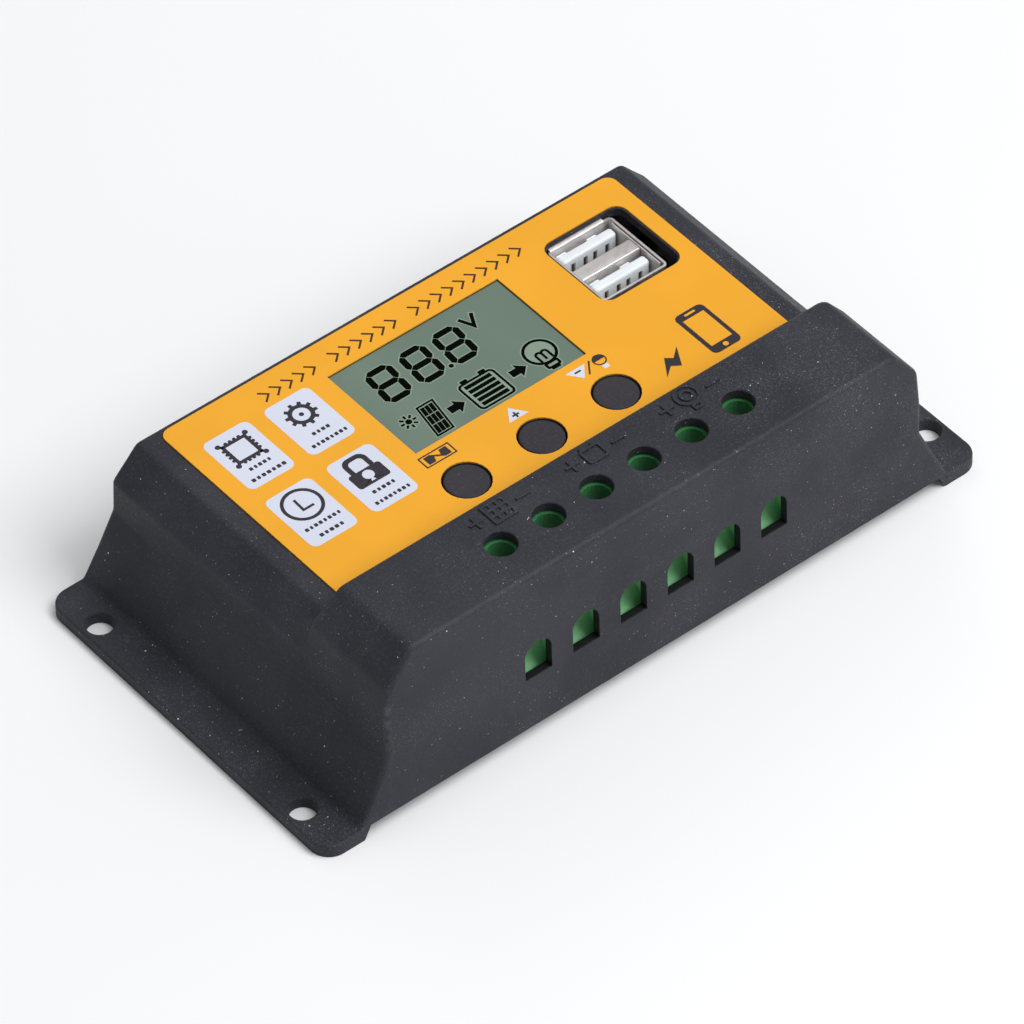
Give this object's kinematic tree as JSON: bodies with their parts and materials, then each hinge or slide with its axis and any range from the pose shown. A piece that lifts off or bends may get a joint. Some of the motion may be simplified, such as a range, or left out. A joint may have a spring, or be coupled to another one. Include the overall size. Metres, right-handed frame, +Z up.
{
  "type": "solar charge controller",
  "caption": "Solar charge controller in a flanged black plastic case with a yellow face label, display, three buttons, twin USB outlet and screw terminals along the front.",
  "frame": {"origin": "middle of the underside, on the surface that the flanges rest on", "axes": "+X along the length towards the USB outlet end, +Y from the terminal wall to the back wall, +Z up through the display"},
  "size_m": [0.1334, 0.07, 0.0345],
  "materials": {
    "black_abs": "matte, fine moulded texture",
    "label_yellow": "satin printed film",
    "lcd_glass": "smooth",
    "white_plastic": "satin",
    "green_plastic": "satin",
    "green_board": "satin solder mask",
    "bare_steel": "bright nickel plate",
    "brass": "thin tin plate",
    "aluminium": "plain rolled",
    "chip_epoxy": "matte moulded epoxy",
    "ferrite": "matte"
  },
  "bodies": {
    "case": {"top_cover": "black_abs", "back_plate": "aluminium", "face_label": "label_yellow", "lcd_panel": "lcd_glass", "lcd_holder": "white_plastic", "lcd_backlight": "white_plastic", "lcd_pin_strip": "chip_epoxy", "usb_shell": "bare_steel", "usb_insulator": "white_plastic", "main_board": "green_board", "input_capacitor": "chip_epoxy", "output_capacitor": "chip_epoxy", "usb_inductor": "ferrite", "controller_chip": "chip_epoxy", "usb_regulator_chip": "chip_epoxy", "current_shunt": "brass", "mosfet_1": "chip_epoxy", "mosfet_2": "chip_epoxy", "mosfet_3": "chip_epoxy", "plate_screw_1": "bare_steel", "board_screw_1": "bare_steel", "plate_screw_2": "bare_steel", "board_screw_2": "bare_steel", "plate_screw_3": "bare_steel", "board_screw_3": "bare_steel", "plate_screw_4": "bare_steel", "board_screw_4": "bare_steel", "mode_switch_body": "chip_epoxy", "plus_switch_body": "chip_epoxy", "minus_switch_body": "chip_epoxy", "panel_terminal_block": "green_plastic", "panel_plus_contact": "brass", "panel_minus_contact": "brass", "battery_terminal_block": "green_plastic", "battery_plus_contact": "brass", "battery_minus_contact": "brass", "load_terminal_block": "green_plastic", "load_plus_contact": "brass", "load_minus_contact": "brass"},
    "mode_button": {"mode_button_cap": "black_abs", "mode_switch_plunger": "white_plastic"},
    "plus_button": {"plus_button_cap": "black_abs", "plus_switch_plunger": "white_plastic"},
    "minus_button": {"minus_button_cap": "black_abs", "minus_switch_plunger": "white_plastic"},
    "panel_plus_screw_body": {"panel_plus_screw": "bare_steel"},
    "panel_plus_cage_body": {"panel_plus_clamp_cage": "bare_steel"},
    "panel_minus_screw_body": {"panel_minus_screw": "bare_steel"},
    "panel_minus_cage_body": {"panel_minus_clamp_cage": "bare_steel"},
    "battery_plus_screw_body": {"battery_plus_screw": "bare_steel"},
    "battery_plus_cage_body": {"battery_plus_clamp_cage": "bare_steel"},
    "battery_minus_screw_body": {"battery_minus_screw": "bare_steel"},
    "battery_minus_cage_body": {"battery_minus_clamp_cage": "bare_steel"},
    "load_plus_screw_body": {"load_plus_screw": "bare_steel"},
    "load_plus_cage_body": {"load_plus_clamp_cage": "bare_steel"},
    "load_minus_screw_body": {"load_minus_screw": "bare_steel"},
    "load_minus_cage_body": {"load_minus_clamp_cage": "bare_steel"}
  },
  "joints": [
    {"name": "mode_button_press", "type": "slide", "parent": "case", "child": "mode_button", "axis": [0, 0, -1], "range_m": [0, 0.0004], "stiffness_N_per_m": 1500, "springref_m": -0.0005},
    {"name": "plus_button_press", "type": "slide", "parent": "case", "child": "plus_button", "axis": [0, 0, -1], "range_m": [0, 0.0004], "stiffness_N_per_m": 1500, "springref_m": -0.0005},
    {"name": "minus_button_press", "type": "slide", "parent": "case", "child": "minus_button", "axis": [0, 0, -1], "range_m": [0, 0.0004], "stiffness_N_per_m": 1500, "springref_m": -0.0005},
    {"name": "panel_plus_screw_turn", "type": "hinge", "parent": "case", "child": "panel_plus_screw_body", "pos_m": [-0.02415, -0.0256, 0.0273], "axis": [0, 0, -1], "range_deg": [0, 2880.1]},
    {"name": "panel_plus_cage_lift", "type": "slide", "parent": "case", "child": "panel_plus_cage_body", "axis": [0, 0, 1], "range_m": [0, 0.004]},
    {"name": "panel_minus_screw_turn", "type": "hinge", "parent": "case", "child": "panel_minus_screw_body", "pos_m": [-0.01465, -0.0256, 0.0273], "axis": [0, 0, -1], "range_deg": [0, 2880.1]},
    {"name": "panel_minus_cage_lift", "type": "slide", "parent": "case", "child": "panel_minus_cage_body", "axis": [0, 0, 1], "range_m": [0, 0.004]},
    {"name": "battery_plus_screw_turn", "type": "hinge", "parent": "case", "child": "battery_plus_screw_body", "pos_m": [-0.00515, -0.0256, 0.0273], "axis": [0, 0, -1], "range_deg": [0, 2880.1]},
    {"name": "battery_plus_cage_lift", "type": "slide", "parent": "case", "child": "battery_plus_cage_body", "axis": [0, 0, 1], "range_m": [0, 0.004]},
    {"name": "battery_minus_screw_turn", "type": "hinge", "parent": "case", "child": "battery_minus_screw_body", "pos_m": [0.00435, -0.0256, 0.0273], "axis": [0, 0, -1], "range_deg": [0, 2880.1]},
    {"name": "battery_minus_cage_lift", "type": "slide", "parent": "case", "child": "battery_minus_cage_body", "axis": [0, 0, 1], "range_m": [0, 0.004]},
    {"name": "load_plus_screw_turn", "type": "hinge", "parent": "case", "child": "load_plus_screw_body", "pos_m": [0.01385, -0.0256, 0.0273], "axis": [0, 0, -1], "range_deg": [0, 2880.1]},
    {"name": "load_plus_cage_lift", "type": "slide", "parent": "case", "child": "load_plus_cage_body", "axis": [0, 0, 1], "range_m": [0, 0.004]},
    {"name": "load_minus_screw_turn", "type": "hinge", "parent": "case", "child": "load_minus_screw_body", "pos_m": [0.02335, -0.0256, 0.0273], "axis": [0, 0, -1], "range_deg": [0, 2880.1]},
    {"name": "load_minus_cage_lift", "type": "slide", "parent": "case", "child": "load_minus_cage_body", "axis": [0, 0, 1], "range_m": [0, 0.004]}
  ],
  "couplings": [
    {"joint": "panel_plus_screw_turn", "follows": "panel_plus_cage_lift", "rad_per_m": 12566},
    {"joint": "panel_minus_screw_turn", "follows": "panel_minus_cage_lift", "rad_per_m": 12566},
    {"joint": "battery_plus_screw_turn", "follows": "battery_plus_cage_lift", "rad_per_m": 12566},
    {"joint": "battery_minus_screw_turn", "follows": "battery_minus_cage_lift", "rad_per_m": 12566},
    {"joint": "load_plus_screw_turn", "follows": "load_plus_cage_lift", "rad_per_m": 12566},
    {"joint": "load_minus_screw_turn", "follows": "load_minus_cage_lift", "rad_per_m": 12566}
  ]
}
